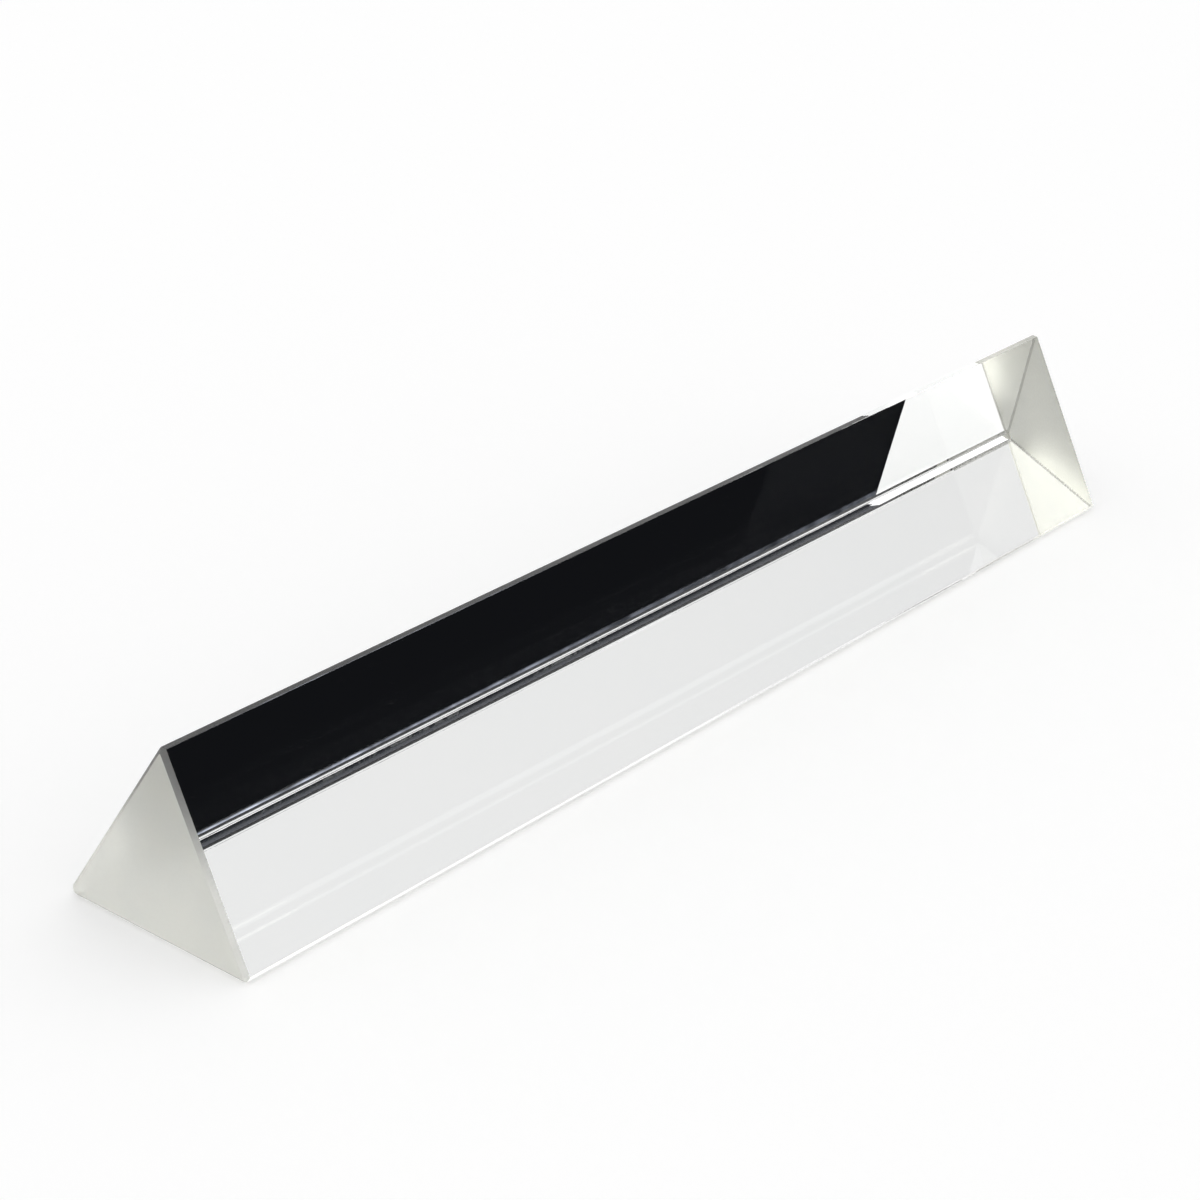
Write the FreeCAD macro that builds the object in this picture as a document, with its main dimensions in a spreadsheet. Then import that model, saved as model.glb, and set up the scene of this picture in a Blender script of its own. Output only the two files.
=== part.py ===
import FreeCAD, Part
import math
import os

import Sketcher

# An equilateral dispersing prism, ground and polished from one bar of clear optical glass.
# It lies on its base face: +X runs along the prism, +Y points to the back, +Z up.
# The origin is the centre of the base face. All sizes are in millimetres.
DRIVING_SIZES = [
    ("PrismLength", 200.0, "from one ground end face to the other"),
    ("PrismWidth", 30.0, "across the base, from one bevelled edge to the other"),
    ("ApexBevel", 0.9, "bevel along the top edge, measured on each face from the sharp corner"),
    ("BaseBevel", 1.1, "bevel along the two base edges, measured the same way"),
    ("EndBevel", 0.5, "45 degree bevel round both end faces"),
]
NODE = "glass_prism"
START = 1
END = 2
TOLERANCE = 1e-6


def make_sheet(doc):
    sheet = doc.addObject("Spreadsheet::Sheet", "Sizes")
    for row, (alias, value, note) in enumerate(DRIVING_SIZES, start=1):
        sheet.set(f"A{row}", alias)
        sheet.set(f"B{row}", str(value))
        sheet.setAlias(f"B{row}", alias)
        sheet.set(f"C{row}", note)
    doc.recompute()
    return sheet


def origin_plane(body, role):
    return next(feature for feature in body.Origin.OriginFeatures if feature.Role == role)


def towards(start, end, distance):
    """The point that lies the given distance from start on the way to end."""
    direction = (end - start).normalize()
    return start + direction * distance


def add_full_triangle(sketch, front, back, apex):
    """The sharp-cornered triangle that the section is cut from: base, back side and front side.

    A 60 degree corner cut back by a bevel loses half the bevel's setback in width, and the base
    has two such corners, so the full triangle is wider than the prism by one setback.
    """
    sides = [
        sketch.addGeometry(Part.LineSegment(start, end), True)
        for start, end in ((front, back), (back, apex), (apex, front))
    ]
    base, back_side, front_side = sides
    for side, following in ((base, back_side), (back_side, front_side), (front_side, base)):
        sketch.addConstraint(Sketcher.Constraint("Coincident", side, END, following, START))
    horizontal_axis = -1
    origin_point = (-1, 1)
    sketch.addConstraint(Sketcher.Constraint("PointOnObject", base, START, horizontal_axis))
    sketch.addConstraint(Sketcher.Constraint("Symmetric", base, START, base, END, *origin_point))
    sketch.addConstraint(Sketcher.Constraint("Equal", base, back_side))
    sketch.addConstraint(Sketcher.Constraint("Equal", base, front_side))
    width = sketch.addConstraint(Sketcher.Constraint("Distance", base, front.distanceToPoint(back)))
    sketch.setExpression(f"Constraints[{width}]", "Sizes.PrismWidth + Sizes.BaseBevel")
    return sides


def add_section(sketch, sizes, front, back, apex, sides):
    """The section's six lines: three faces, and a bevel across each corner of the triangle."""
    base, back_side, front_side = sides
    # Each point lies on a side of the triangle, at a bevel's distance from one of its corners.
    places = [
        (front, back, base, START, "BaseBevel"),
        (back, front, base, END, "BaseBevel"),
        (back, apex, back_side, START, "BaseBevel"),
        (apex, back, back_side, END, "ApexBevel"),
        (apex, front, front_side, START, "ApexBevel"),
        (front, apex, front_side, END, "BaseBevel"),
    ]
    points = [towards(corner, other, sizes[bevel]) for corner, other, _, _, bevel in places]
    lines = [
        sketch.addGeometry(Part.LineSegment(point, following), False)
        for point, following in zip(points, points[1:] + points[:1])
    ]
    for line, following in zip(lines, lines[1:] + lines[:1]):
        sketch.addConstraint(Sketcher.Constraint("Coincident", line, END, following, START))
    for line, (_, _, side, corner_end, bevel) in zip(lines, places):
        sketch.addConstraint(Sketcher.Constraint("PointOnObject", line, START, side))
        setback = sketch.addConstraint(
            Sketcher.Constraint("Distance", line, START, side, corner_end, sizes[bevel])
        )
        sketch.setExpression(f"Constraints[{setback}]", f"Sizes.{bevel}")


def make_section_sketch(body, sizes):
    sketch = body.newObject("Sketcher::SketchObject", "Section")
    sketch.AttachmentSupport = [(origin_plane(body, "YZ_Plane"), "")]
    sketch.MapMode = "FlatFace"
    full_side = sizes["PrismWidth"] + sizes["BaseBevel"]
    front = FreeCAD.Vector(-full_side / 2, 0, 0)
    back = FreeCAD.Vector(full_side / 2, 0, 0)
    apex = FreeCAD.Vector(0, full_side * math.sin(math.radians(60)), 0)
    sides = add_full_triangle(sketch, front, back, apex)
    add_section(sketch, sizes, front, back, apex, sides)
    return sketch


def end_faces(shape):
    """Names of the two faces that lie square to the prism's length."""
    return [
        f"Face{number}"
        for number, face in enumerate(shape.Faces, start=1)
        if abs(face.BoundBox.XLength) < TOLERANCE
    ]


def make_prism(doc, sizes):
    body = doc.addObject("PartDesign::Body", "Prism")
    body.Label = NODE

    bar = body.newObject("PartDesign::Pad", "Bar")
    bar.Profile = make_section_sketch(body, sizes)
    bar.SideType = "Symmetric"
    bar.setExpression("Length", "Sizes.PrismLength")
    doc.recompute()

    end_bevels = body.newObject("PartDesign::Chamfer", "EndBevels")
    end_bevels.Base = (bar, end_faces(bar.Shape))
    end_bevels.setExpression("Size", "Sizes.EndBevel")
    doc.recompute()
    if not end_bevels.Shape.Volume < bar.Shape.Volume:
        raise RuntimeError("the end bevels cut nothing")
    return body


def check(doc, parts):
    for item in doc.Objects:
        if "Invalid" in item.State or "Error" in item.State:
            raise RuntimeError(f"{item.Label} failed: {item.State}")
    for part in parts:
        if part.Shape.isNull() or not part.Shape.isValid():
            raise RuntimeError(f"{part.Label} has no valid shape")
        if len(part.Shape.Solids) != 1:
            raise RuntimeError(f"{part.Label} is not one solid")


def main():
    doc = FreeCAD.newDocument("equilateral_prism")
    sheet = make_sheet(doc)
    sizes = {alias: float(sheet.get(alias)) for alias, _, _ in DRIVING_SIZES}
    parts = [make_prism(doc, sizes)]
    doc.recompute()
    check(doc, parts)
    os.makedirs("parts", exist_ok=True)
    for part in parts:
        part.Shape.exportStep(f"parts/{part.Label}.step")
        box = part.Shape.BoundBox
        print(
            f"{part.Label}: {box.XLength:.3f} x {box.YLength:.3f} x {box.ZLength:.3f} mm, "
            f"{part.Shape.Volume:.1f} cubic mm, {len(part.Shape.Faces)} faces"
        )


main()
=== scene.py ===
import math

import bpy
import numpy as np
from mathutils import Matrix, Vector


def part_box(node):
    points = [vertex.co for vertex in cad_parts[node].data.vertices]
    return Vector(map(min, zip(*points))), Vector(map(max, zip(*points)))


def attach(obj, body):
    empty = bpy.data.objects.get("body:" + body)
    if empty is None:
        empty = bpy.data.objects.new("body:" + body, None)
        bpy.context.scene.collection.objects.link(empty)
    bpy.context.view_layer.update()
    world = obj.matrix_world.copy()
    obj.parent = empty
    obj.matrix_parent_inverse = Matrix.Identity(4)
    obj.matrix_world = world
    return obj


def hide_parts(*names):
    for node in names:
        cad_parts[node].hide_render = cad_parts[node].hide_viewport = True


# A long equilateral prism of clear glass, lying on its base face on a white table.
# Everything is in metres, with +X along the prism, +Y to its back and +Z up.
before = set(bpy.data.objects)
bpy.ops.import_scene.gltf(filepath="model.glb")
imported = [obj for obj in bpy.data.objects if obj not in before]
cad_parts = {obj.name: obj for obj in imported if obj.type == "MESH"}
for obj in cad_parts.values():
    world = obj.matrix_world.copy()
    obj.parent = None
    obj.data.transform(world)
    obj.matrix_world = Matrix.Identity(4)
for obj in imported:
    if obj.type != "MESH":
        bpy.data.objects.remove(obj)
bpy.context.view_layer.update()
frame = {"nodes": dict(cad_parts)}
print("frame loaded:", ", ".join(frame["nodes"]))

# the prism: its outer size comes from the frame, and the rest is how its edges were ground by hand
prismLow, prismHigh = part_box("glass_prism")
prismLength = prismHigh.x - prismLow.x
prismWidth = prismHigh.y - prismLow.y
prismHeight = prismHigh.z - prismLow.z
halfLength = prismLength / 2
glassPrism = {
    "sharpExtra": 0.0011,     # how much wider the sharp triangle is than the bevelled prism
    "onBase": 0.00104,        # the base edges' bevels: from the sharp corner along the base,
    "onFace": 0.00116,        # and up the slanted face, for no edge is ground quite evenly
    "endBevel": (0.0006, 0.0003),     # round the left and the right end
    "stations": 720,          # rings along the prism
    "faceSteps": 6,           # steps across one long face
    "bevelSteps": 2,          # steps across one long bevel
    "waveDepth": 0.00001,     # slow wander of a bevel's edge
    "wavePeriods": (0.071, 0.043, 0.019),
    "waveReach": 1.84,        # the most that the three waves add up to
    "nickDepth": 0.000005,    # fine nicks along an edge
    "baseArris": (0.0005, 0.00052),   # the flats between bevel and base, at the left and the right end
    "bevelArris": 0.0006,     # the same flats, measured on the bevel
    "faceArris": 0.00005,     # the flats that break the other long edges
    "endArrisShare": 0.4,     # how much of the flats is left at the end faces
    "arrisWaves": 30,         # knots of unevenness along one edge
    "arrisNoise": 0.01,       # how uneven the wide flats are
    "faceArrisNoise": 0.3,    # and the narrow ones
    "arrisSteps": 2,          # flats at one edge
    "seed": 11,
}


def smoothNoise(rng, count, knots):
    # random values at evenly spaced knots, from -1 to 1, joined by half cosine waves:
    # the share (1 - cos(pi f)) / 2 of the way from one knot to the next
    values = rng.uniform(-1, 1, knots)
    place = np.linspace(0, knots - 1.001, count)
    before = place.astype(int)
    share = (1 - np.cos(math.pi * (place - before))) / 2
    return values[before] * (1 - share) + values[before + 1] * share


def edgeWander(rng, along, cut):
    # how far a hand-ground edge lies beyond its nominal place, never short of it:
    # three slow sine waves of random phase, lifted to start from zero, plus fine nicks,
    # which are the cube of what noise there is above zero
    waves = sum(
        np.sin(2 * math.pi * along / period + rng.uniform(0, 2 * math.pi)) / (rank + 1)
        for rank, period in enumerate(cut["wavePeriods"])
    )
    nicks = np.maximum(smoothNoise(rng, len(along), len(along) // 2), 0) ** 3
    return cut["waveDepth"] * (waves / cut["waveReach"] + 1) / 2 + cut["nickDepth"] * nicks


def sectionCorners(cut, along):
    # the six corners of the section at each place along the prism, walking from the back end of
    # the base: a point on a side of the sharp triangle lies its setback from the sharp corner
    rng = np.random.default_rng(cut["seed"])
    side = prismWidth + cut["sharpExtra"]
    fullHeight = side * math.sin(math.radians(60))
    topBevel = (fullHeight - prismHeight) / math.sin(math.radians(60))
    front, back, top = np.array([(-side / 2, 0.0), (side / 2, 0.0), (0.0, fullHeight)])
    places = (
        (back, front, cut["onBase"]),
        (back, top, cut["onFace"]),
        (top, back, topBevel),
        (top, front, topBevel),
        (front, top, cut["onFace"]),
        (front, back, cut["onBase"]),
    )
    corners = []
    for start, end, setback in places:
        direction = (end - start) / np.linalg.norm(end - start)
        corners.append(start + (setback + edgeWander(rng, along, cut))[:, None] * direction)
    return np.stack(corners, 1)


def insetCorners(corners, depth):
    # the same outline moved inwards by a depth: each corner goes along the mitre of the two
    # sides that meet there, by twice the depth over the mitre's squared length
    before = corners - np.roll(corners, 1, axis=0)
    after = np.roll(corners, -1, axis=0) - corners
    normalBefore = np.stack((-before[:, 1], before[:, 0]), 1)
    normalAfter = np.stack((-after[:, 1], after[:, 0]), 1)
    normalBefore /= np.linalg.norm(normalBefore, axis=1)[:, None]
    normalAfter /= np.linalg.norm(normalAfter, axis=1)[:, None]
    mitre = normalBefore + normalAfter
    return corners + depth * 2 * mitre / (mitre ** 2).sum(1)[:, None]


def brokenOutline(corners, leave, enter, cut):
    # a ring of points round each section: at every corner a few flats from the point that lies
    # `enter` before it to the point that lies `leave` after it, along the curve
    # (1 - t)^2 before + 2 t (1 - t) corner + t^2 after, and a straight run to the next corner
    following = np.roll(corners, -1, axis=1)
    direction = following - corners
    direction /= np.linalg.norm(direction, axis=2)[:, :, None]
    before = corners - np.roll(direction, 1, axis=1) * enter[:, :, None]
    after = corners + direction * leave[:, :, None]
    t = np.linspace(0, 1, cut["arrisSteps"] + 1)[None, :, None]
    places = []
    for index, steps in enumerate((cut["bevelSteps"], cut["faceSteps"]) * 3):
        start, corner, end = (points[:, index, None] for points in (before, corners, after))
        places.append((1 - t) ** 2 * start + 2 * t * (1 - t) * corner + t ** 2 * end)
        share = (np.arange(1, steps) / steps)[None, :, None]
        places.append(end * (1 - share) + before[:, (index + 1) % 6, None] * share)
    return np.concatenate(places, axis=1)


def arrisSizes(cut, along):
    # how far each corner's flats reach along the side after it and the side before it: a size
    # times 1 plus noise; the two beside the base grow from one end of the prism to the other
    rng = np.random.default_rng(cut["seed"] + 1)
    noise = [smoothNoise(rng, len(along), cut["arrisWaves"]) for _ in range(8)]
    small = cut["faceArris"] * (1 + cut["faceArrisNoise"] * np.stack(noise[:6], 1))
    enter, leave = small.copy(), small.copy()
    grown = np.interp(along, (0, prismLength), cut["baseArris"])
    back, front = (1 + cut["arrisNoise"] * uneven for uneven in noise[6:])
    enter[:, 0] = grown * back
    leave[:, 0] = cut["bevelArris"] * back
    enter[:, 5] = cut["bevelArris"] * front
    leave[:, 5] = grown * front
    return leave, enter


def buildPrism(cut):
    # the long surface is a grid of stations by ring points; its ends are a narrow bevel
    # down to a smaller flat ring, closed by one flat face
    along = np.linspace(0, prismLength, cut["stations"])
    corners = sectionCorners(cut, along)
    leave, enter = arrisSizes(cut, along)
    rings = brokenOutline(corners, leave, enter, cut)
    stations, around = rings.shape[:2]
    x = np.linspace(cut["endBevel"][0] - halfLength, halfLength - cut["endBevel"][1], stations)
    body = np.concatenate((np.repeat(x[:, None, None], around, 1), rings), axis=2)
    ends = (0, -1)
    inner = np.stack([insetCorners(corners[end], depth) for end, depth in zip(ends, cut["endBevel"])])
    kept = cut["endArrisShare"]
    innerRings = brokenOutline(inner, leave[[*ends]] * kept, enter[[*ends]] * kept, cut)
    caps = [
        np.column_stack((np.full(around, place), ring))
        for place, ring in zip((-halfLength, halfLength), innerRings)
    ]
    points = np.concatenate((caps[0][None], body, caps[1][None])).reshape(-1, 3)
    index = np.arange((stations + 2) * around).reshape(stations + 2, around)
    beside = np.roll(index, -1, axis=1)
    quads = np.stack((index[:-1], beside[:-1], beside[1:], index[1:]), -1).reshape(-1, 4)
    faces = [*quads.tolist(), index[0][::-1].tolist(), index[-1].tolist()]
    mesh = bpy.data.meshes.new("prism")
    mesh.from_pydata(points.tolist(), [], faces)
    finish = np.zeros(len(faces), np.int32)     # 0 polished, 1 ground end, 2 bevel round an end
    finish[-2:] = 1
    finish[:around] = 2
    finish[len(quads) - around:len(quads)] = 2
    mesh.polygons.foreach_set("material_index", finish)
    mesh.update()
    prism = bpy.data.objects.new("prism", mesh)
    bpy.context.scene.collection.objects.link(prism)
    return prism


prism = buildPrism(glassPrism)
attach(prism, "root")
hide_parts("glass_prism")
print("prism built:", len(prism.data.polygons), "faces")


def newMaterial(name):
    material = bpy.data.materials.new(name)
    material.use_nodes = True
    tree = material.node_tree
    return material, tree, tree.nodes["Principled BSDF"]


def addNode(tree, kind, **settings):
    # a new shader node with these properties set
    node = tree.nodes.new("ShaderNode" + kind)
    for name, setting in settings.items():
        setattr(node, name, setting)
    return node


def feed(tree, socket, source):
    # a socket gets a link from another socket, or a plain value
    if isinstance(source, bpy.types.NodeSocket):
        tree.links.new(source, socket)
    else:
        socket.default_value = source


def reckon(tree, operation, *values):
    # one step of arithmetic on sockets or numbers
    step = addNode(tree, "Math", operation=operation)
    for socket, value in zip(step.inputs, values):
        feed(tree, socket, value)
    return step.outputs[0]


def ramp(tree, value, span, levels=(0.0, 1.0)):
    # a smooth step of the value, from the first level at the low end of the span to the second
    # level at its high end; any of the four may be a socket
    step = addNode(tree, "MapRange", interpolation_type="SMOOTHSTEP")
    feed(tree, step.inputs["Value"], value)
    for name, setting in zip(("From Min", "From Max", "To Min", "To Max"), (*span, *levels)):
        feed(tree, step.inputs[name], setting)
    return step.outputs["Result"]


def blend(tree, share, first, second):
    # from the first colour at share 0 to the second at share 1; a colour is a socket or three
    # numbers, and a colour mix has its share and its two colours at these places
    mix = addNode(tree, "Mix", data_type="RGBA")
    for place, source in ((0, share), (6, first), (7, second)):
        feed(tree, mix.inputs[place], (*source, 1) if isinstance(source, tuple) else source)
    return mix.outputs[2]


def objectAxes(tree):
    # the Object coordinates, split into x, y and z
    split = addNode(tree, "SeparateXYZ")
    feed(tree, split.inputs[0], addNode(tree, "TexCoord").outputs["Object"])
    return split.outputs


# what wears or marks a ground or polished surface, placed in every material of the prism
wear = {
    "scratchStretch": 0.02, "scratchMiddle": 0.5, "scratchWidth": 0.02,
    "grainDetail": 2.0, "grainSpan": (0.3, 0.7),
    "patchDetail": 3.0, "patchSpan": (0.32, 0.68),
}
wearInputs = {"Patch Scale": 150.0, "Grain Scale": 2500.0, "Scratch Scale": 500.0, "Scratch Depth": 0.2}


def surfaceWearGroup():
    # patch and grain are noise stretched to run from 0 to 1; a scratch is where noise drawn out
    # along the prism crosses its middle value; the height is grain less scratches
    group = bpy.data.node_groups.new("surfaceWear", "ShaderNodeTree")
    for name, value in wearInputs.items():
        socket = group.interface.new_socket(name, in_out="INPUT", socket_type="NodeSocketFloat")
        socket.default_value = value
    for name in ("Patch", "Grain", "Scratch", "Height"):
        group.interface.new_socket(name, in_out="OUTPUT", socket_type="NodeSocketFloat")
    entry = group.nodes.new("NodeGroupInput")
    leaving = group.nodes.new("NodeGroupOutput")
    place = addNode(group, "TexCoord").outputs["Object"]
    stretched = addNode(group, "VectorMath", operation="MULTIPLY")
    stretched.inputs[1].default_value = (wear["scratchStretch"], 1, 1)
    feed(group, stretched.inputs[0], place)
    noises = {}
    for name, source, detail in (
        ("Patch", place, wear["patchDetail"]),
        ("Grain", place, wear["grainDetail"]),
        ("Scratch", stretched.outputs[0], 0.0),
    ):
        noise = addNode(group, "TexNoise")
        feed(group, noise.inputs["Detail"], detail)
        feed(group, noise.inputs["Vector"], source)
        feed(group, noise.inputs["Scale"], entry.outputs[name + " Scale"])
        noises[name] = noise.outputs["Fac"]
    patch = ramp(group, noises["Patch"], wear["patchSpan"])
    grain = ramp(group, noises["Grain"], wear["grainSpan"])
    offMiddle = reckon(group, "SUBTRACT", noises["Scratch"], wear["scratchMiddle"])
    distance = reckon(group, "ABSOLUTE", offMiddle)
    line = ramp(group, distance, (0.0, wear["scratchWidth"]), (1.0, 0.0))
    depth = reckon(group, "MULTIPLY", line, entry.outputs["Scratch Depth"])
    height = reckon(group, "SUBTRACT", grain, depth)
    for name, socket in (("Patch", patch), ("Grain", grain), ("Scratch", line), ("Height", height)):
        feed(group, leaving.inputs[name], socket)
    return group


surfaceWear = surfaceWearGroup()


def addWear(tree, finish):
    # the shared group, with this material's own scales
    node = addNode(tree, "Group", node_tree=surfaceWear)
    for name in wearInputs:
        node.inputs[name].default_value = finish[name]
    return node.outputs


def glassMaterial(name, finish):
    # clear glass whose colour varies in patches between two tints, whose roughness varies between
    # two levels, and whose surface is bumped by the group's height
    material, tree, shader = newMaterial(name)
    marks = addWear(tree, finish)
    tint = blend(tree, marks["Patch"], finish["tint"], finish["tintPatch"])
    feed(tree, shader.inputs["Base Color"], tint)
    roughness = ramp(tree, marks[finish["roughBy"]], (0.0, 1.0), finish["roughness"])
    feed(tree, shader.inputs["Roughness"], roughness)
    bump = addNode(tree, "Bump")
    bump.inputs["Strength"].default_value = 1
    bump.inputs["Distance"].default_value = finish["bump"]
    feed(tree, bump.inputs["Height"], marks["Height"])
    feed(tree, shader.inputs["Normal"], bump.outputs["Normal"])
    shader.inputs["Transmission Weight"].default_value = 1
    shader.inputs["IOR"].default_value = finish["ior"]
    return material, tree, shader, tint


# the long faces: polished, with the faintest sleeks left by the polishing
polish = {
    "tint": (0.985, 0.99, 0.985), "tintPatch": (0.975, 0.985, 0.98), "ior": 1.5168,
    "roughness": (0.0, 0.02), "roughBy": "Scratch", "bump": 0.0000004,
    "Patch Scale": 60.0, "Grain Scale": 350.0, "Scratch Scale": 700.0, "Scratch Depth": 0.3,
}
# the two end faces: fine ground, so that light passes them without a picture
ground = {
    "tint": (0.99, 0.99, 0.94), "tintPatch": (0.93, 0.935, 0.9), "ior": 1.5168,
    "roughness": (0.8, 0.9), "roughBy": "Grain", "bump": 0.00001,
    "Patch Scale": 160.0, "Grain Scale": 2200.0, "Scratch Scale": 500.0, "Scratch Depth": 0.0,
}
# the narrow bevels round the ends: ground by hand; their dark tint is painted shade, darkest towards the
# left end's top edge
endEdge = {
    "tint": (0.2, 0.2, 0.205), "tintPatch": (0.16, 0.16, 0.165), "ior": 1.5168,
    "roughness": (0.8, 0.9), "roughBy": "Grain", "bump": 0.00001,
    "Patch Scale": 300.0, "Grain Scale": 3000.0, "Scratch Scale": 500.0, "Scratch Depth": 0.0,
    "lowTint": (0.98, 0.98, 0.95), "lowToHigh": (0.008, 0.024),
    "rightTint": (0.5, 0.5, 0.47), "leftToRight": (-0.01, 0.01),
}


def endEdgeGlass():
    # ground glass dark with painted shade, with a paler tint mixed in towards the foot, and an even one
    # at the right end
    material, tree, shader, tint = glassMaterial("endEdgeGlass", endEdge)
    x, y, z = objectAxes(tree)
    low = ramp(tree, z, endEdge["lowToHigh"], (1.0, 0.0))
    left = blend(tree, low, tint, endEdge["lowTint"])
    both = blend(tree, ramp(tree, x, endEdge["leftToRight"]), left, endEdge["rightTint"])
    feed(tree, shader.inputs["Base Color"], both)
    return material


# the prism's faces count on this order
prism.data.materials.append(glassMaterial("polishedGlass", polish)[0])
prism.data.materials.append(glassMaterial("groundGlass", ground)[0])
prism.data.materials.append(endEdgeGlass())
print("glass finished")


def flatPiece(name, points, material, seenBy=None):
    # a flat stage piece; where it is seen by some kinds of ray alone, it casts no shadow
    mesh = bpy.data.meshes.new(name)
    mesh.from_pydata(points, [], [list(range(len(points)))])
    piece = bpy.data.objects.new(name, mesh)
    bpy.context.scene.collection.objects.link(piece)
    piece.data.materials.append(material)
    for kind in ("camera", "diffuse", "glossy", "transmission", "shadow") if seenBy else ():
        setattr(piece, "visible_" + kind, kind in seenBy)
    return piece


def corners(spanX, spanY, z):
    # the four corners of a level rectangle, from its front left one
    (left, right), (front, back) = spanX, spanY
    return [(x, y, z) for x, y in ((left, front), (right, front), (right, back), (left, back))]


def plainGlow(name, level, colour):
    material, tree, shader = newMaterial(name)
    tree.nodes.remove(shader)
    glow = addNode(tree, "Emission")
    glow.inputs["Color"].default_value = (*colour, 1)
    glow.inputs["Strength"].default_value = level
    feed(tree, tree.nodes["Material Output"].inputs["Surface"], glow.outputs[0])
    return material, tree, glow.inputs["Strength"]


table = {
    "reach": 20.0, "drop": 0.0001, "colour": (0.86, 0.86, 0.86), "roughness": 0.9, "gloss": 0.1,
    "lift": 0.2, "liftThroughGlass": 0.5,     # how much whiter it looks than the light makes it
}


def tableMaterial():
    # white, with a lift that counts for the camera and for mirror images, and one for what
    # passes the glass: lift times either, plus liftThroughGlass times transmission
    material, tree, shader = newMaterial("whiteTable")
    shader.inputs["Base Color"].default_value = (*table["colour"], 1)
    shader.inputs["Roughness"].default_value = table["roughness"]
    shader.inputs["Specular IOR Level"].default_value = table["gloss"]
    path = addNode(tree, "LightPath").outputs
    either = reckon(tree, "MAXIMUM", path["Is Camera Ray"], path["Is Glossy Ray"])
    lift = reckon(tree, "MULTIPLY", either, table["lift"])
    through = reckon(tree, "MULTIPLY_ADD", path["Is Transmission Ray"], table["liftThroughGlass"], lift)
    shader.inputs["Emission Color"].default_value = (1, 1, 1, 1)
    feed(tree, shader.inputs["Emission Strength"], through)
    return material


wholeTable = (-table["reach"], table["reach"])
flatPiece("tableTop", corners(wholeTable, wholeTable, -table["drop"]), tableMaterial())

# a dark card on the table that only the glass sees, so that the glass reads dark against white;
# it glows with painted light where light would creep in under the rear bevel: a painted glint that
# wavers and fades from left to right, and behind it a dim band of painted light
card = {
    "drop": 0.00005, "left": -0.0885, "front": -0.2, "back": 0.01585,
    "edgeAtMiddle": 0.08093, "edgeSlope": 1.296,    # its right edge runs from front right to back left
    "dark": 0.006, "colour": (0.88, 0.94, 1.12),
    "litFrom": (0.0142, 0.01375), "litSoft": (-0.0001, 0.0002),    # where the light starts
    "glint": (0.62, 0.1), "glintFades": 0.02, "glintEnds": (0.01465, 0.01475),
    "waverScale": 160.0, "waverDetail": 3.0, "waverSpan": (0.3, 0.7), "waver": (0.35, 1.6),
    "band": (0.08, 0.006), "bandSpan": (0.0149, 0.01585),
}


def cardMaterial():
    # by depth y: dark, then the painted glint, which is its level at x times the waver, then the band of
    # painted light
    material, tree, strength = plainGlow("darkCard", card["dark"], card["colour"])
    x, y, z = objectAxes(tree)
    start = ramp(tree, x, (-halfLength, halfLength), card["litFrom"])
    past = reckon(tree, "SUBTRACT", y, start)
    noise = addNode(tree, "TexNoise", noise_dimensions="1D")
    noise.inputs["Scale"].default_value = card["waverScale"]
    noise.inputs["Detail"].default_value = card["waverDetail"]
    feed(tree, noise.inputs["W"], x)
    waver = ramp(tree, noise.outputs["Fac"], card["waverSpan"], card["waver"])
    level = ramp(tree, x, (-halfLength, card["glintFades"]), card["glint"])
    glint = reckon(tree, "MULTIPLY", level, waver)
    band = ramp(tree, y, card["bandSpan"], card["band"])
    lit = ramp(tree, y, card["glintEnds"], (glint, band))
    feed(tree, strength, ramp(tree, past, card["litSoft"], (card["dark"], lit)))
    return material


def cardEdge(y):
    # where the card's right edge is at this depth
    return card["edgeAtMiddle"] - card["edgeSlope"] * y


cardOutline = (
    (card["left"], card["back"]), (card["left"], card["front"]),
    (cardEdge(card["front"]), card["front"]), (cardEdge(card["back"]), card["back"]),
)
flatPiece("darkCard", [(x, y, -card["drop"]) for x, y in cardOutline], cardMaterial(), ("transmission",))

# a dark screen in front, for the front face to reflect
screen = {
    "level": 0.01, "colour": (0.88, 0.94, 1.12), "away": 0.35, "halfWidth": 0.4,
    "height": (0.25, 0.07), "facing": (0.76, -0.65),
}
facing = Vector((*screen["facing"], 0)).normalized()
across = Vector((-facing.y, facing.x, 0)) * screen["halfWidth"]
middle = facing * screen["away"]
topLeft, topRight = (Vector((0, 0, height)) for height in screen["height"])
screenOutline = (middle - across, middle + across, middle + across + topRight, middle - across + topLeft)
screenGlow = plainGlow("darkScreen", screen["level"], screen["colour"])[0]
flatPiece("darkScreen", [tuple(point) for point in screenOutline], screenGlow, ("glossy", "transmission"))

# the table beyond the right end as the ground glass there sees it, painted with light and shadow:
# a painted pool of light beside the end, painted shadow behind and beyond, a patch of painted shadow
# in front of it, and a card far behind that glows with painted light
endTable = {
    "front": -0.013, "reach": 0.3, "drop": 0.00004, "paintedLight": 1.5, "paintedShade": 0.53,
    "behind": (0.005, 0.0115), "beyond": (0.103, 0.107), "colour": (1.0, 1.0, 0.91),
}
# a patch of painted shadow on the table in front of the right end, seen only through the glass
patch = {"front": -0.0295, "back": -0.0225, "right": 0.1222, "level": 0.33}
# a card far behind that glows with painted light, seen only through the glass to brighten the far end
farCard = {"away": 1.0, "left": 0.0, "right": 0.8, "height": 1.0, "level": 2.5}


def endTableMaterial():
    # painted light and shadow: the lower of two steps from the painted light to the painted shade, one by
    # depth and one along the prism
    material, tree, strength = plainGlow("besideEnd", endTable["paintedShade"], endTable["colour"])
    x, y, z = objectAxes(tree)
    levels = (endTable["paintedLight"], endTable["paintedShade"])
    behind = ramp(tree, y, endTable["behind"], levels)
    beyond = ramp(tree, x, endTable["beyond"], levels)
    feed(tree, strength, reckon(tree, "MINIMUM", behind, beyond))
    return material


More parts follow.
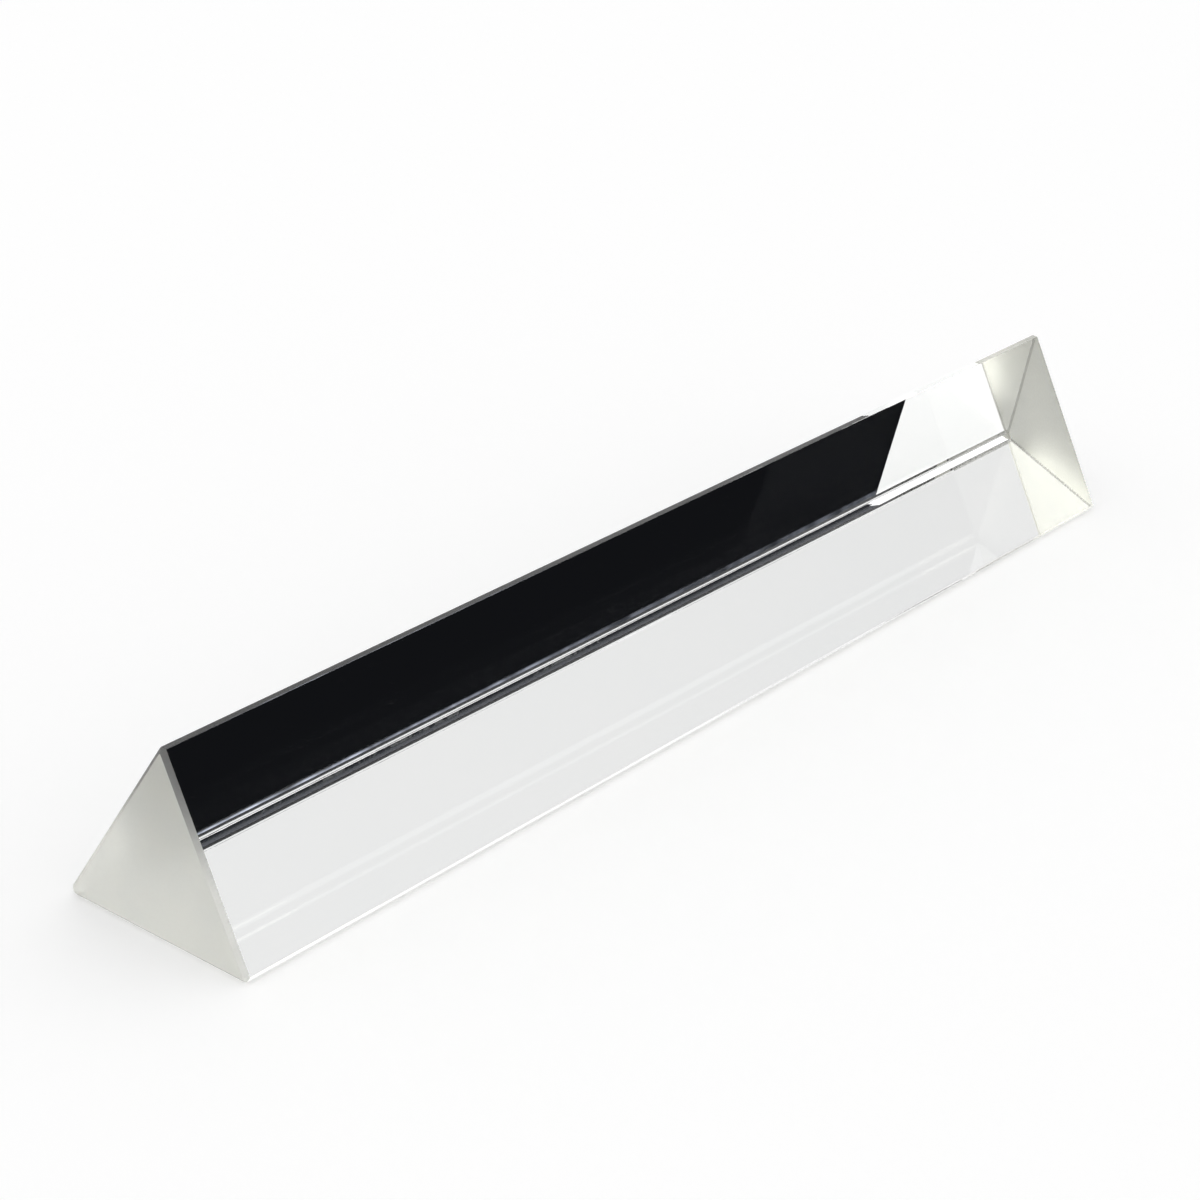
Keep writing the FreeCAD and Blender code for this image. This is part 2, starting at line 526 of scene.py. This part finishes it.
farOut = prismHigh.x + endTable["reach"]
endOutline = corners((prismHigh.x, farOut), (endTable["front"], farOut), -endTable["drop"])
flatPiece("endFloor", endOutline, endTableMaterial(), ("transmission",))
patchOutline = (
    (cardEdge(patch["back"]), patch["back"]), (cardEdge(patch["front"]), patch["front"]),
    (patch["right"], patch["front"]), (patch["right"], patch["back"]),
)
patchGlow = plainGlow("paintedShadePatch", patch["level"], endTable["colour"])[0]
flatPiece("paintedShadePatch", [(x, y, -endTable["drop"]) for x, y in patchOutline], patchGlow, ("transmission",))
farOutline = corners((farCard["left"], farCard["right"]), (0, farCard["height"]), farCard["away"])
farGlow = plainGlow("paintedLightCard", farCard["level"], endTable["colour"])[0]
flatPiece("paintedLightCard", [(x, away, height) for x, height, away in farOutline], farGlow, ("transmission",))
print("stage set")

# light: an even white sky, and bounces enough for what the glass sends round inside it
studio = {"level": 0.92, "bounces": 32, "glassBounces": 24}
scene = bpy.context.scene
world = bpy.data.worlds.new("studio")
scene.world = world
world.use_nodes = True
sky = world.node_tree.nodes["Background"]
sky.inputs["Color"].default_value = (1, 1, 1, 1)
sky.inputs["Strength"].default_value = studio["level"]
scene.view_settings.view_transform = "Standard"
scene.cycles.max_bounces = studio["bounces"]
scene.cycles.glossy_bounces = studio["glassBounces"]
scene.cycles.transmission_bounces = studio["glassBounces"]

# camera: it stands off the aim by its distance, at these angles in degrees
view = {
    "azimuth": -54.2193, "elevation": 25.7577, "roll": 4.7759, "distance": 0.457347,
    "aim": (-0.008989, 0.003881, 0.01368), "lens": 97.9344, "sensor": 36, "clipStart": 0.01,
}
cameraData = bpy.data.cameras.new("camera")
cameraData.lens = view["lens"]
cameraData.sensor_width = view["sensor"]
cameraData.clip_start = view["clipStart"]
camera = bpy.data.objects.new("camera", cameraData)
scene.collection.objects.link(camera)
scene.camera = camera
azimuth, elevation, roll = (math.radians(view[name]) for name in ("azimuth", "elevation", "roll"))
level = math.cos(elevation)
back = Vector((math.sin(azimuth) * level, -math.cos(azimuth) * level, math.sin(elevation)))
turn = (-back).to_track_quat("-Z", "Y").to_matrix() @ Matrix.Rotation(roll, 3, "Z")
camera.matrix_world = Matrix.Translation(Vector(view["aim"]) + back * view["distance"]) @ turn.to_4x4()
print("camera placed")
